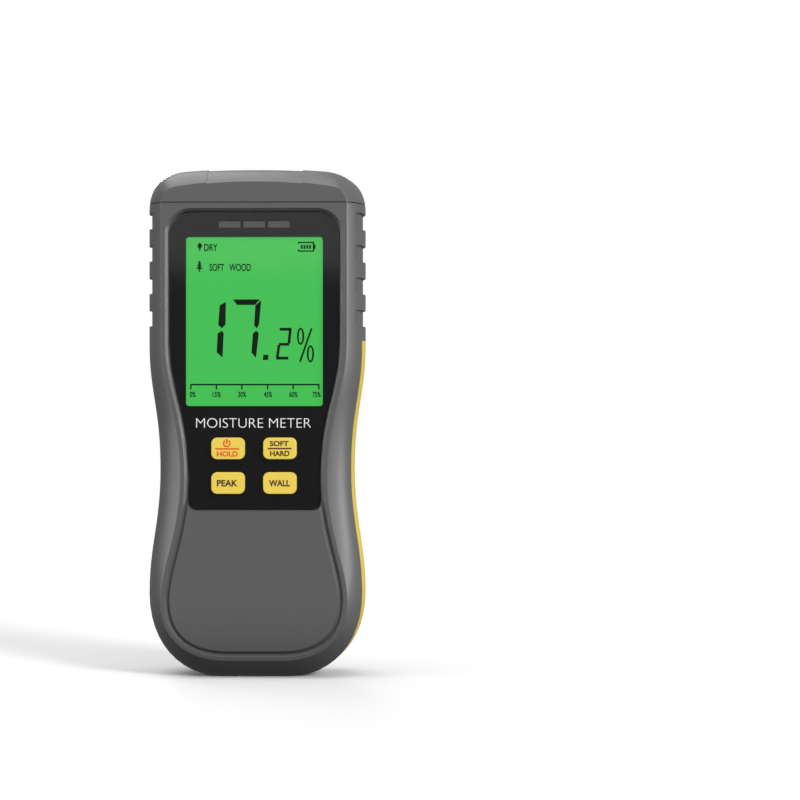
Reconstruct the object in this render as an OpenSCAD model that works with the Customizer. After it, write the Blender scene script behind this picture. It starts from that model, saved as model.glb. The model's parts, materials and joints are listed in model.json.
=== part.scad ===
// Pinless moisture meter: two case shells, a top cap and a yellow side band round
// a display, four keys, a sensor plate and a 9 V battery behind a hinged door.
// Millimetres. +Z runs up the length, the display faces -Y, and the origin is at
// the middle of the base. The shells meet on the plane Y = 0.

/* [Case] */
// Height of the case
case_h = 165.6; // [160:0.2:170]
// Width of the case at its two wide parts
case_w = 71.4; // [70:0.2:74]
// Width of the waist
waist_w = 64.2; // [63:0.2:66]
// Depth of the case
case_d = 32; // [32:0.2:34]
// Half the depth of the strip along the sides
strip_y = 8; // [6:0.5:9]
// How much the strip falls away from its middle to its edges
strip_fall = 0.9; // [0.4:0.1:1.2]
// Thickness of the shells
wall = 2.2; // [1.8:0.1:2.4]
// Height of the seam under the top cap
seam_z = 154.1; // [153.5:0.1:155]

/* [Grip] */
// Depth of the notches in the sides and of the recess in the top
relief = 0.5; // [0.3:0.1:0.8]
// Distance from one notch to the next
notch_pitch = 10.55; // [10:0.05:11]
// Height of a notch
notch_h = 5.3; // [4:0.1:6]
// Top edge of the highest notch
notch_top = 151.2; // [150:0.1:152]
// Top of the yellow side band
band_top = 109.6; // [100:0.1:112]
// Thickness of the yellow side band
band_t = 1.6; // [1.2:0.1:1.8]

/* [Display] */
// Thickness of the lens
lens_t = 1.5; // [1.2:0.1:1.6]
// Lowest edge of the lens
lens_z = 54.3; // [53:0.1:55]
// Highest edge of the lens
lens_top = 151.35; // [151:0.05:151.5]
// Width of the display window
window_w = 44.4; // [42:0.2:45]
// Height of the display window
window_h = 54.8; // [50:0.2:55]
// Height of the window's centre
window_z = 115.65; // [115:0.05:116]
// Width of one light bar
bar_w = 7.1; // [6:0.1:7.4]
// Height of one light bar
bar_h = 2.15; // [1.8:0.05:2.4]
// Distance between the light bars
bar_pitch = 8; // [7.8:0.1:8.4]
// Height of the light bars' centres
bar_z = 147.2; // [147:0.1:147.6]

/* [Keys] */
// Width of a key
key_w = 10.8; // [9:0.1:11.2]
// Height of a key
key_h = 7; // [6:0.1:7.2]
// Distance of the key columns from the middle
key_x = 8.4; // [8:0.1:8.8]
// Heights of the two key rows
key_rows = [74.5, 63.3];
// Travel of a key
key_travel = 0.8; // [0.5:0.1:0.8]

/* [Back] */
// Side of the square sensor window
sensor_w = 45.1; // [44:0.1:46]
// Height of the sensor window's centre
sensor_z = 119.3; // [119:0.1:119.5]
// Length of a back pad
pad_l = 21.5; // [20:0.1:22]
// Width of a back pad
pad_w = 9; // [8:0.1:9.2]
// Width of the battery door
door_w = 27.6; // [27.4:0.1:27.8]
// Lowest and highest edge of the battery door
door_z = [25.5, 83.4];
// Thickness of the battery door
door_t = 1.6; // [1.4:0.1:1.8]
// Width of the door's latch
latch_w = 17.9; // [16:0.1:18]
// Width of the latch's thumb tongue
tongue_w = 10.8; // [9:0.1:11]

/* [Battery] */
// Size of the battery's body
battery = [26.2, 17.2, 46.3];
// Distance between the battery's terminals
terminal_pitch = 12.7;

/* [Hidden] */
$fn = 48;
half_w = case_w / 2;
half_d = case_d / 2;
waist = waist_w / 2;
foot = 11;              // half of the flat part of the base
eps = 0.05;
gap = 0.15;             // round the keys and the pads
door_gap = 0.3;
lens_y = -half_d + 0.7;
ledge_y = lens_y + lens_t + 0.2;   // front of the ledge behind the lens
front_in = ledge_y + 1.4;          // inner face of the front shell
back_in = half_d - 2.4;            // inner face of the rear shell
board_y = front_in + 6;            // front of the circuit board
board_t = 1.6;
board_back = board_y + board_t;
door_in = half_d - door_t;
foam_t = 0.4;
battery_y = door_in - foam_t - 0.1 - battery.y;  // front face of the battery
battery_z = door_z[0] + 0.1;
box_in = [13.4, battery_y - 0.1];          // half width and floor of the battery box
box_wall = 1.5;
shelf_z = door_z[0] - door_gap;            // bottom of the battery box
box_top = door_z[1] + 0.35;
pocket_z = 16.5;                           // bottom of the latch pocket
pocket_y = 4.9;
hinge_y = half_d - 1.1;
hinge_z = door_z[1] - 1.1;
hinge_r = 0.75;
hinge_room = 1.7;                          // radius that the door's top edge turns in
latch_leg = [24.1, 25.3];                  // upper leg of the latch spring
latch_arm = [18.3, 19.4];                  // lower leg and the latch head
flex_y = 9.6;                              // where the bend of the latch spring ends
pivot_y = flex_y + 0.65;
pivot_z = (latch_arm[0] + latch_arm[1]) / 2;
shank_r = 1.1;
case_screws_at = [[27.3, 146.1], [22, 78.5], [22.5, 16.2]];
board_screws_at = [[18, 147.7], [17.8, 55.5]];
upper_pad = [13.2, 147.5];
lower_pad = [21.2, 34.9];
keys_at = [for (z = key_rows) for (s = [-1, 1]) [s * key_x, z]];
lead_r = 0.65;
charcoal = "#5c5c5c";
yellow = "#e3cb4b";

// ---- outlines: right half, from the base up to the top centre, as [x, z] ----

function bezier(a, b, c, d, n) = [for (i = [1:n]) let (t = i / n, s = 1 - t)
    s*s*s*a + 3*s*s*t*b + 3*s*t*t*c + t*t*t*d];
function chain(p, n) = concat([p[0]], [for (k = [0:len(n) - 1])
    each bezier(p[3*k], p[3*k + 1], p[3*k + 2], p[3*k + 3], n[k])]);
steps = [8, 5, 5, 2, 6, 2];

// widest outline, at the strip along the sides
mid_path = chain([[foot, 0], [25.5, 0], [half_w, 11], [half_w, 27],
    [half_w, 43], [waist, 50], [waist, 68],
    [waist, 87], [half_w, 93], [half_w, 108],
    [half_w, 123], [half_w, 137], [half_w, 152],
    [half_w, case_h - 6], [half_w - 4.1, case_h - 1.3], [22, case_h - 0.7],
    [15, case_h - 0.2], [7, case_h], [0, case_h]], steps);
// outline at the edges of the strip, which falls away on the sides but not on the base or the top
fall_from = 18;         // half width where it starts to fall away
fall_over = 12;
strip_path = [for (p = mid_path)
    [p.x - strip_fall * min(max((p.x - fall_from) / fall_over, 0), 1), p.y]];
// outline of the flat front and back faces
face_path = chain([[9, 5.85], [20, 5.85], [half_w - 5.4, 11], [half_w - 5.4, 25],
    [half_w - 5.4, 35.5], [waist - 8.35, 48], [waist - 8.35, 65],
    [waist - 8.35, 86], [half_w - 5.65, 93], [half_w - 5.65, 109],
    [half_w - 5.65, 124], [half_w - 5.65, 138], [half_w - 5.65, 153],
    [half_w - 5.65, 157.5], [28.3, 159.1], [24, case_h - 6.1],
    [16, case_h - 4.9], [8, case_h - 4.4], [0, case_h - 4.4]], steps);

function unit(v) = v / norm(v);
function mirrored(p) = [-p.x, p.y];
function tangent(p, i) = unit((i == len(p) - 1 ? mirrored(p[i - 1]) : p[i + 1])
    - (i == 0 ? mirrored(p[0]) : p[i - 1]));
function inset(p, d) = [for (i = [0:len(p) - 1]) let (t = tangent(p, i)) p[i] - d * [t.y, -t.x]];
function whole(p) = concat(p, [for (i = [len(p) - 1:-1:0]) if (p[i].x > 0) mirrored(p[i])]);

// share of the way from the strip's edge to the flat face, at a distance y from the seam
function turn_in(y) = y <= strip_y ? 0
    : let (v = (y - strip_y) / (half_d - strip_y)) 0.45 * v + 0.55 * v * v;
function path_at(y, d) = let (f = turn_in(abs(y)), a = min(abs(y) / strip_y, 1))
    inset((1 - f) * ((1 - a) * mid_path + a * strip_path) + f * face_path, d);

// solid through the outlines at the given depths, drawn in by d
module loft(depths, d) {
    half = len(mid_path);
    ring = 2 * half - 1;
    last = len(depths) - 1;
    points = [for (y = depths) for (p = whole(path_at(y, d))) [p.x, y, p.y]];
    sides = [for (k = [0:last - 1]) for (j = [0:ring - 1])
        let (a = k * ring + j, b = k * ring + (j + 1) % ring) each [[a, b, b + ring], [a, b + ring, a + ring]]];
    front = [for (k = [0:half - 2]) k == half - 2 ? [k, ring - 1 - k, k + 1]
        : [k, ring - 1 - k, ring - 2 - k, k + 1]];
    back = [for (f = front) [for (i = [len(f) - 1:-1:0]) f[i] + last * ring]];
    polyhedron(points, concat(sides, front, back), convexity = 6);
}

// plate between two depths from an outline in X and Z
module slab(y0, y1) translate([0, y1, 0]) rotate([90, 0, 0]) linear_extrude(y1 - y0) children();
module at(p) translate([p.x, p.y]) children();
module both() { children(); mirror([1, 0, 0]) children(); }
module rod(p, r, y0, y1) translate([p.x, y0, p.y]) rotate([-90, 0, 0]) cylinder(r = r, h = y1 - y0);
module block(x, y, z) translate([x[0], y[0], z[0]]) cube([x[1] - x[0], y[1] - y[0], z[1] - z[0]]);
module rounded(w, h, r) {
    square([w - 2 * r, h], center = true);
    square([w, h - 2 * r], center = true);
    for (x = [-1, 1], z = [-1, 1]) translate([x * (w / 2 - r), z * (h / 2 - r)]) circle(r);
}

// outline at a distance d inside the flat face, with a level top and a base of its own
function panel_half(d, top, r) = let (side = inset(face_path, d), x = half_w - 5.65 - d)
    concat([for (p = side) if (p.y < top - r - 0.5) p],
        [for (a = [0:15:90]) [x - r + r * cos(a), top - r + r * sin(a)]]);
function lens_half(d) = let (side = inset(face_path, 2.2 + d), r = 3,
        x = waist - 8.35 - 2.2 - d + 0.25, z = lens_z + d)
    concat([for (a = [-90:15:0]) [x - r + r * cos(a), z + r + r * sin(a)]],
        [for (p = panel_half(2.2 + d, lens_top - d, 7.5)) if (p.y > z + r + 0.5) p]);
module panel_outline(d, top, r) polygon(whole(panel_half(d, top, r)));
module lens_outline(d) polygon(whole(lens_half(d)));
module key_shape(grow) for (k = keys_at) at(k) rounded(key_w + 2 * grow, key_h + 2 * grow, 1.9 + grow);
module bar_shape(grow) for (i = [-1:1]) at([i * bar_pitch, bar_z])
    square([bar_w + 2 * grow, bar_h + 2 * grow], center = true);
module window_shape(grow) at([0, window_z]) rounded(window_w + 2 * grow, window_h + 2 * grow, 1 + grow);

// ---- case ----

front_depths = [-half_d, -half_d + 2, -half_d + 4, -half_d + 6, -strip_y, 0];
back_depths = [0, strip_y, half_d - 6, half_d - 4, half_d - 2, half_d];
all_depths = concat(front_depths, [for (i = [1:5]) back_depths[i]]);

// what the notches take away from the sides
module notches() difference() {
    for (i = [0:3]) block([-half_w - 1, half_w + 1], [-half_d + 3, half_d - 3],
        [notch_top - i * notch_pitch - notch_h, notch_top - i * notch_pitch]);
    loft(all_depths, relief);
}

// channel for the side band
module band_room(clear) difference() {
    block([-half_w - 1, half_w + 1], [-strip_y - clear, strip_y + clear], [-1, band_top + clear]);
    slab(-half_d, half_d) polygon(whole(inset(mid_path, band_t)));
}

module front_case() color(charcoal) difference() {
    union() {
        difference() {
            loft(front_depths, 0);
            loft([front_in, -strip_y, 1], wall);
        }
        both() for (p = case_screws_at) rod(p, 3, front_in - 0.5, 0);
        both() for (p = board_screws_at) rod(p, 2.1, front_in - 0.5, board_y);
    }
    block([-40, 40], [-20, 1], [seam_z, case_h + 1]);
    slab(-half_d - 1, ledge_y) lens_outline(-0.1);
    slab(-half_d - 1, lens_y) difference() {
        panel_outline(1.6, lens_top + 0.5, 8);
        intersection() {
            panel_outline(3.2, lens_top, 7.5);
            translate([-40, 0]) square([80, lens_z]);
        }
    }
    slab(-half_d, front_in + 1) { key_shape(gap); bar_shape(gap); window_shape(0.5); }
    both() for (p = case_screws_at) rod(p, shank_r + 0.05, -half_d + 6, 1);
    both() for (p = board_screws_at) rod(p, 0.8, front_in + 1, board_y + 1);
    band_room(0);
    notches();
}

module rear_case() color(charcoal) difference() {
    union() {
        difference() {
            loft(back_depths, 0);
            loft([-1, strip_y, half_d - 5, back_in], wall);
        }
        both() for (p = case_screws_at) rod(p, 3.5, 0, back_in + 0.5);
        block([-box_in[0] - box_wall, box_in[0] + box_wall], [box_in[1] - 0.9, back_in + 0.5],
            [shelf_z - 1.4, box_top + 1.4]);
        block([-latch_w / 2 - 1.8, latch_w / 2 + 1.8], [pocket_y - box_wall, back_in + 0.5],
            [pocket_z - box_wall, shelf_z]);
    }
    block([-40, 40], [-1, 20], [seam_z, case_h + 1]);
    // battery box and door opening
    block([-box_in[0], box_in[0]], [box_in[1], half_d + 1], [shelf_z, box_top]);
    slab(door_in - 0.1, half_d + 1) at([0, (shelf_z + box_top) / 2])
        rounded(door_w + 2 * door_gap, box_top - shelf_z, 2);
    both() rod_x(hinge_y, hinge_z, hinge_r + 0.05, door_w / 2 - 1, door_w / 2 + 1.4);
    rod_x(hinge_y, hinge_z, hinge_room, -door_w / 2 - door_gap, door_w / 2 + door_gap);
    // latch pocket, its mouth and the thumb recess
    block([-latch_w / 2 - door_gap, latch_w / 2 + door_gap], [pocket_y, back_in], [pocket_z, shelf_z + 1]);
    block([-latch_w / 2 - door_gap, latch_w / 2 + door_gap], [pocket_y, half_d + 1],
        [latch_arm[0] - 0.4, shelf_z + 1]);
    block([-tongue_w / 2 - door_gap, tongue_w / 2 + door_gap], [pocket_y, half_d + 1], [pocket_z, shelf_z]);
    translate([-tongue_w / 2 - door_gap, 0, 0]) rotate([90, 0, 90]) linear_extrude(tongue_w + 2 * door_gap)
        polygon([[half_d, pocket_z - 3.2], [half_d + 1, pocket_z - 3.2], [half_d + 1, pocket_z + eps],
            [half_d - 1.9, pocket_z + eps]]);
    // sensor window and pads
    slab(half_d - 1.2, half_d + 1) at([0, sensor_z]) rounded(sensor_w + 0.2, sensor_w + 0.2, 1);
    slab(back_in - 1, half_d) at([0, sensor_z]) square(40, center = true);
    both() slab(half_d - 0.9, half_d + 1) {
        at(upper_pad) rounded(pad_l + 2 * gap, pad_w + 2 * gap, 2.6);
        at(lower_pad) rounded(pad_w + 2 * gap, pad_l + 2 * gap, 2.6);
    }
    both() for (p = case_screws_at) {
        rod(p, 2.35, 5, half_d + 1);
        rod(p, 1.4, -1, 6);
    }
    // ways through for the battery leads
    both() translate([6, 7, box_top - 1]) cylinder(r = 1.5, h = 4);
    band_room(0);
    notches();
}

module top_cap() color("#5f5f5f") difference() {
    union() {
        difference() {
            intersection() {
                loft(all_depths, 0);
                block([-40, 40], [-20, 20], [seam_z, case_h + 1]);
            }
            loft([front_in, -strip_y, strip_y, back_in], wall + 0.2);
        }
        // spigot that plugs into the shells
        difference() {
            intersection() {
                loft([front_in + 0.1, -strip_y, strip_y, back_in - 0.1], wall + 0.1);
                block([-40, 40], [-20, 20], [seam_z - 2.5, seam_z + 1.5]);
            }
            loft([front_in + 1.3, -strip_y, strip_y, back_in - 1.3], wall + 1.3);
        }
    }
    // recess across the top
    difference() {
        block([-15.5, 15.5], [-20, 20], [case_h - 8, case_h + 1]);
        loft(concat([-half_d - 1], all_depths, [half_d + 1]), relief);
    }
}

module side_band() color(yellow) intersection() {
    loft([-strip_y, 0, strip_y], 0);
    difference() {
        band_room(-0.05);
        slab(-half_d, half_d) polygon(whole(inset(mid_path, band_t - 0.02)));
    }
}

// ---- display ----

module display_lens() color("#30303080") slab(lens_y, lens_y + lens_t) difference() {
    lens_outline(0);
    key_shape(gap);
}
module lens_mask() color("#1f1f1f") slab(lens_y + lens_t, ledge_y) difference() {
    lens_outline(0.3);
    key_shape(gap);
    window_shape(0);
    bar_shape(0);
}
module light_bars() color("#c8c8c8") slab(ledge_y, board_y - 1.2) bar_shape(0);
module lcd_glass() color("#54c565") block([-23.2, 23.2], [front_in + 0.1, front_in + 2.1], [84.9, 144.4]);
module lcd_backlight() color("#e8f4e8") block([-22.6, 22.6], [front_in + 2.1, front_in + 4.2], [88, 144]);
module lcd_frame() color("white") difference() {
    block([-23.9, 23.9], [front_in + 0.1, board_y], [84.2, 145.1]);
    block([-23.25, 23.25], [front_in - 1, board_y + 1], [84.85, 144.45]);
}
module contact_strip() color("#d98a9a") block([-21, 21], [front_in + 2.1, board_y], [85.3, 87.3]);

// ---- keys ----

module key(k) color(yellow) {
    slab(-half_d + 0.1, front_in + 0.1) at(k) rounded(key_w, key_h, 1.9);
    slab(front_in + 0.1, front_in + 1.1) at(k) rounded(key_w + 1.8, key_h + 1.8, 1.9);
    rod(k, 2.5, front_in + 1.1, board_y - key_travel - 0.4);
}
module pill(k) color("#202020") rod(k, 2.2, board_y - key_travel - 0.4, board_y - key_travel - 0.05);
module power_key() key(keys_at[0]);
module wood_key() key(keys_at[1]);
module peak_key() key(keys_at[2]);
module building_key() key(keys_at[3]);
module power_pill() pill(keys_at[0]);
module wood_pill() pill(keys_at[1]);
module peak_pill() pill(keys_at[2]);
module building_pill() pill(keys_at[3]);
module keypad_sheet() color("#d8d4c8") difference() {
    slab(board_y - 1, board_y) at([0, (key_rows[0] + key_rows[1]) / 2]) rounded(30.6, 23, 2);
    for (k = keys_at) rod(k, 3.2, board_y - 2, board_y + 1);
}

// ---- electronics ----

board_half = [[0, 51], [20.3, 51], [20.3, 60], [16.5, 63], [16.5, 90], [25, 94], [25, 140],
    [21.5, 142.5], [21.5, 150.5], [0, 150.5]];
module main_board() color("#1f6b3a") difference() {
    slab(board_y, board_back) polygon(whole(board_half));
    both() for (p = board_screws_at) rod(p, 0.9, board_y - 1, board_back + 1);
}
module controller_chip() color("#222222") block([-5, 5], [board_back, board_back + 1.4], [92, 102]);
module small_chips() color("#222222") {
    block([11, 15], [board_back, board_back + 1.3], [90.5, 95.5]);
    block([-15, -11], [board_back, board_back + 1.3], [90.5, 95.5]);
    block([17, 22], [board_back, board_back + 1.3], [112, 118]);
    block([17, 22], [board_back, board_back + 1.3], [124, 130]);
}
module capacitors() color("#303c70") for (p = [[-19, 112], [-19, 120], [-19, 128]])
    rod(p, 2.5, board_back, board_back + 5.5);
module crystal() color("silver") block([7.5, 11.5], [board_back, board_back + 2.5], [100, 105.5]);
module buzzer() color("#181818") difference() {
    rod([-11, 141.5], 6, board_back, board_back + 5);
    rod([-11, 141.5], 1, board_back + 2, board_back + 6);
}
module indicator_leds() color("white") for (i = [-1:1])
    block([i * bar_pitch - 1.6, i * bar_pitch + 1.6], [board_y - 1, board_y], [bar_z - 0.8, bar_z + 0.8]);
module board_screws() color("silver") both() for (p = board_screws_at) difference() {
    union() {
        rod(p, 1.7, board_back, board_back + 1.2);
        rod(p, 0.75, front_in + 1.5, board_back + 0.2);
    }
    cross_slot(p, 2, 0.5, board_back + 0.6, board_back + 2);
}
module cross_slot(p, l, w, y0, y1) for (a = [0, 90])
    translate([p.x, (y0 + y1) / 2, p.y]) rotate([0, a, 0]) cube([l, y1 - y0, w], center = true);
module shield_can() color("#b8bcc0") difference() {
    block([-13, 13], [board_back, board_back + 5], [106.3, 132.3]);
    block([-12.6, 12.6], [board_back - 1, board_back + 4.6], [106.7, 131.9]);
    rod([0, sensor_z], 2.6, board_back, board_back + 6);
}

// ---- sensor ----

module sensor_window() color("#262626") slab(half_d - 1.2, half_d) at([0, sensor_z])
    rounded(sensor_w, sensor_w, 0.95);
module sensor_electrode() color("#b87333") slab(half_d - 1.7, half_d - 1.2) at([0, sensor_z])
    square(39.6, center = true);
module contact_pin() color("#c9a227") {
    rod([0, sensor_z], 1.5, board_back, board_back + 13);
    rod([0, sensor_z], 0.8, board_back + 13, half_d - 1.7);
}

// ---- battery ----

module battery_cell() color("#4a4d52") slab(battery_y, battery_y + battery.y)
    at([0, battery_z + battery.z / 2]) rounded(battery.x, battery.z, 0.8);
terminal_y = battery_y + battery.y / 2;
battery_end = battery_z + battery.z;
module upright(x, r, z0, z1) translate([x, terminal_y, z0]) cylinder(r = r, h = z1 - z0);
module battery_terminals() color("silver") {
    upright(-terminal_pitch / 2, 2.85, battery_end, battery_end + 2.4);
    upright(terminal_pitch / 2, 4.1, battery_end, battery_end + 2.1);
}
module battery_snap() color("#1c1c1c") difference() {
    block([-12.6, 12.6], [terminal_y - 5.5, terminal_y + 5.5], [battery_end + 0.4, battery_end + 4.1]);
    upright(-terminal_pitch / 2, 2.95, battery_end, battery_end + 2.5);
    upright(terminal_pitch / 2, 4.2, battery_end, battery_end + 2.2);
}
// insulated lead from the snap through the top of the battery box to the board
function lead_path(side) = chain([[side * 3, 8, battery_end + 4.1], [side * 3, 8, 80],
    [side * 6, 7, 81], [side * 6, 7, 84.5],
    [side * 6, 7, 89], [side * 8, 3, 97], [side * 8, board_back, 97]], [6, 6]);
module lead(side) {
    path = lead_path(side);
    last = len(path) - 1;
    points = [for (i = [0:last])
        let (t = unit(path[min(i + 1, last)] - path[max(i - 1, 0)]), u = unit(cross(t, [1, 0, 0])),
            v = cross(t, u))
        for (a = [0:45:315]) path[i] + lead_r * (cos(a) * u + sin(a) * v)];
    skin = [for (i = [0:last - 1]) for (j = [0:7])
        let (a = 8 * i + j, b = 8 * i + (j + 1) % 8) each [[a, b + 8, b], [a, a + 8, b + 8]]];
    polyhedron(points, concat(skin, [[for (j = [0:7]) j]], [[for (j = [7:-1:0]) 8 * last + j]]));
}
module red_lead() color("#b02020") lead(1);
module black_lead() color("#181818") lead(-1);

// ---- battery door ----

module rod_x(y, z, r, x0, x1) translate([x0, y, z]) rotate([0, 90, 0]) cylinder(r = r, h = x1 - x0);
module battery_door() color(charcoal) {
    intersection() {
        slab(door_in, half_d) at([0, (door_z[0] + door_z[1]) / 2])
            rounded(door_w, door_z[1] - door_z[0], 1.8);
        translate([-20, 0, 0]) rotate([90, 0, 90]) linear_extrude(40)
            polygon([[door_in, 0], [half_d, 0], [half_d, door_z[1] - 0.5],
                [half_d - 0.5, door_z[1]], [door_in, door_z[1]]]);
    }
    both() rod_x(hinge_y, hinge_z, hinge_r, door_w / 2 - 1, door_w / 2 + 1.2);
    // upper leg and bend of the latch spring
    block([-latch_w / 2, latch_w / 2], [door_in, half_d], [latch_leg[0], door_z[0]]);
    block([-latch_w / 2, latch_w / 2], [flex_y, half_d], latch_leg);
    bend_z = (latch_leg[1] + latch_arm[0]) / 2;
    intersection() {
        difference() {
            rod_x(flex_y, bend_z, latch_leg[1] - bend_z, -latch_w / 2, latch_w / 2);
            rod_x(flex_y, bend_z, latch_leg[0] - bend_z, -latch_w / 2 - 1, latch_w / 2 + 1);
        }
        block([-20, 20], [0, flex_y], [0, 40]);
    }
}
module door_foam() color("#3a3a3a") block([-9, 9], [door_in - foam_t, door_in], [35, 65]);
module door_latch() color(charcoal) {
    rod_x(pivot_y, pivot_z, (latch_arm[1] - latch_arm[0]) / 2, -latch_w / 2, latch_w / 2);
    block([-latch_w / 2, latch_w / 2], [pivot_y, half_d - 0.05], latch_arm);
    block([-tongue_w / 2, tongue_w / 2], [half_d - 1.3, half_d - 0.05], [pocket_z + 0.3, latch_arm[0] + 0.1]);
}

// ---- pads and screws ----

module pad(p, w, h) color("#595959") slab(half_d - 0.9, half_d) at(p) rounded(w, h, 2.45);
module upper_pad_left() pad([-upper_pad.x, upper_pad.y], pad_l, pad_w);
module upper_pad_right() pad(upper_pad, pad_l, pad_w);
module lower_pad_left() pad([-lower_pad.x, lower_pad.y], pad_w, pad_l);
module lower_pad_right() pad(lower_pad, pad_w, pad_l);
module case_screws() color("#8a8c90") both() for (p = case_screws_at) difference() {
    union() {
        rod(p, 2.2, 5, 6.9);
        rod(p, shank_r, -half_d + 7, 5.2);
    }
    cross_slot(p, 2.6, 0.6, 6.1, 8);
}

front_case();
rear_case();
top_cap();
side_band();
display_lens();
lens_mask();
light_bars();
lcd_glass();
lcd_backlight();
lcd_frame();
contact_strip();
power_key();
wood_key();
peak_key();
building_key();
power_pill();
wood_pill();
peak_pill();
building_pill();
keypad_sheet();
main_board();
controller_chip();
small_chips();
capacitors();
crystal();
buzzer();
indicator_leds();
board_screws();
shield_can();
sensor_window();
sensor_electrode();
contact_pin();
battery_cell();
battery_terminals();
battery_snap();
red_lead();
black_lead();
battery_door();
door_foam();
door_latch();
upper_pad_left();
upper_pad_right();
lower_pad_left();
lower_pad_right();
case_screws();
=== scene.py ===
import json
import math
import bpy
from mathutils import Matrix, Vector

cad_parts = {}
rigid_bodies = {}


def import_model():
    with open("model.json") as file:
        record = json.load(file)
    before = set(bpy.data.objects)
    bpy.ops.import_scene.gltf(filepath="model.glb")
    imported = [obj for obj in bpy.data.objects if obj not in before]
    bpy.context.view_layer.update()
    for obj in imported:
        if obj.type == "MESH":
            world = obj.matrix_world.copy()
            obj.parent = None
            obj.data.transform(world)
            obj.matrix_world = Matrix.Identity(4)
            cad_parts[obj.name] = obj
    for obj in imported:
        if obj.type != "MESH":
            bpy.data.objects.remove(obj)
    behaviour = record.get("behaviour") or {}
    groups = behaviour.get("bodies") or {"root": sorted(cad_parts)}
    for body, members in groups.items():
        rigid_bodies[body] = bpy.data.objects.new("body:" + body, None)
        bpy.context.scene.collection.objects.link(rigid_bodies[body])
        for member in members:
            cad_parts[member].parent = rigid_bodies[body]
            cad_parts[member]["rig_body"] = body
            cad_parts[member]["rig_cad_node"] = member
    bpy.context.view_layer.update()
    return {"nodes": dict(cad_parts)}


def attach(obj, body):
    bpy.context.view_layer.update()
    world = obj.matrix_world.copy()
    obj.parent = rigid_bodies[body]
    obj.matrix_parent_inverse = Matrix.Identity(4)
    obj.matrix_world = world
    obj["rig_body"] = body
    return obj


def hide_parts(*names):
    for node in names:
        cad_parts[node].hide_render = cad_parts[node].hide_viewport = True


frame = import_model()
nodes = frame["nodes"]
mm = 0.001
print("frame loaded:", len(nodes), "nodes")


def freshStart():
    if bpy.context.mode != "OBJECT":
        bpy.ops.object.mode_set(mode="OBJECT")
    bpy.ops.object.select_all(action="DESELECT")


def hold(obj):
    freshStart()
    obj.select_set(True)
    bpy.context.view_layer.objects.active = obj


def pickEdges(obj, test):  # goes into edit mode with the edges selected whose two ends pass the test
    hold(obj)
    bpy.ops.object.mode_set(mode="EDIT")
    bpy.ops.mesh.select_mode(type="EDGE")
    bpy.ops.mesh.select_all(action="DESELECT")
    bpy.ops.object.mode_set(mode="OBJECT")
    at = [v.co for v in obj.data.vertices]
    for edge in obj.data.edges:
        edge.select = test(at[edge.vertices[0]], at[edge.vertices[1]])
    bpy.ops.object.mode_set(mode="EDIT")


def useModifier(obj, kind, **settings):
    hold(obj)
    modifier = obj.modifiers.new(kind.lower(), kind)
    for key, value in settings.items():
        setattr(modifier, key, value)
    bpy.ops.object.modifier_apply(modifier=modifier.name)
    return obj


def carve(obj, tool, how="DIFFERENCE"):
    useModifier(obj, "BOOLEAN", operation=how, object=tool, solver="EXACT")
    bpy.data.objects.remove(tool, do_unlink=True)
    return obj


def joinAll(parts, name):
    freshStart()
    for part in parts:
        part.select_set(True)
    bpy.context.view_layer.objects.active = parts[0]
    if len(parts) > 1:
        bpy.ops.object.join()
    bpy.context.object.name = name
    return bpy.context.object


def setPlace(obj):
    hold(obj)
    bpy.ops.object.transform_apply(location=True, rotation=True, scale=True)
    return obj


def brick(x, y, z, name="brick"):  # box between the given limits, in millimetres
    freshStart()
    middle = [(a + b) / 2 * mm for a, b in (x, y, z)]
    bpy.ops.mesh.primitive_cube_add(size=1, location=middle)
    obj = bpy.context.object
    obj.name = name
    obj.scale = [(b - a) * mm for a, b in (x, y, z)]
    return setPlace(obj)


def roundBrick(at, size, corner, y, name="plate", steps=6):  # plate in X and Z with round corners
    x, z = [(middle - side / 2, middle + side / 2) for middle, side in zip(at, size)]
    obj = brick(x, y, z, name)
    pickEdges(obj, lambda a, b: abs(a.y - b.y) > 1e-7)
    bpy.ops.mesh.bevel(offset=corner * mm, segments=steps, affect="EDGES")
    freshStart()
    return obj


def rod(at, radius, y, name="rod", sides=48):  # cylinder along Y
    freshStart()
    bpy.ops.mesh.primitive_cylinder_add(vertices=sides, radius=radius * mm, depth=(y[1] - y[0]) * mm,
                                        location=(at[0] * mm, (y[0] + y[1]) / 2 * mm, at[1] * mm),
                                        rotation=(math.pi / 2, 0, 0))
    bpy.context.object.name = name
    return setPlace(bpy.context.object)


def softenRim(obj, width, steps, test):
    pickEdges(obj, test)
    bpy.ops.mesh.bevel(offset=width * mm, segments=steps, affect="EDGES")
    freshStart()


def tidyNormals(obj):
    hold(obj)
    bpy.ops.object.mode_set(mode="EDIT")
    bpy.ops.mesh.select_all(action="SELECT")
    bpy.ops.mesh.remove_doubles(threshold=1e-7)
    bpy.ops.mesh.normals_make_consistent(inside=False)
    freshStart()
    return obj


def smoothed(obj, angle=32):
    hold(obj)
    bpy.ops.object.shade_smooth_by_angle(angle=math.radians(angle))
    useModifier(obj, "WEIGHTED_NORMAL", keep_sharp=True, weight=60)
    return obj


def copied(obj, name):
    hold(obj)
    bpy.ops.object.duplicate()
    bpy.context.object.name = name
    return bpy.context.object


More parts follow.
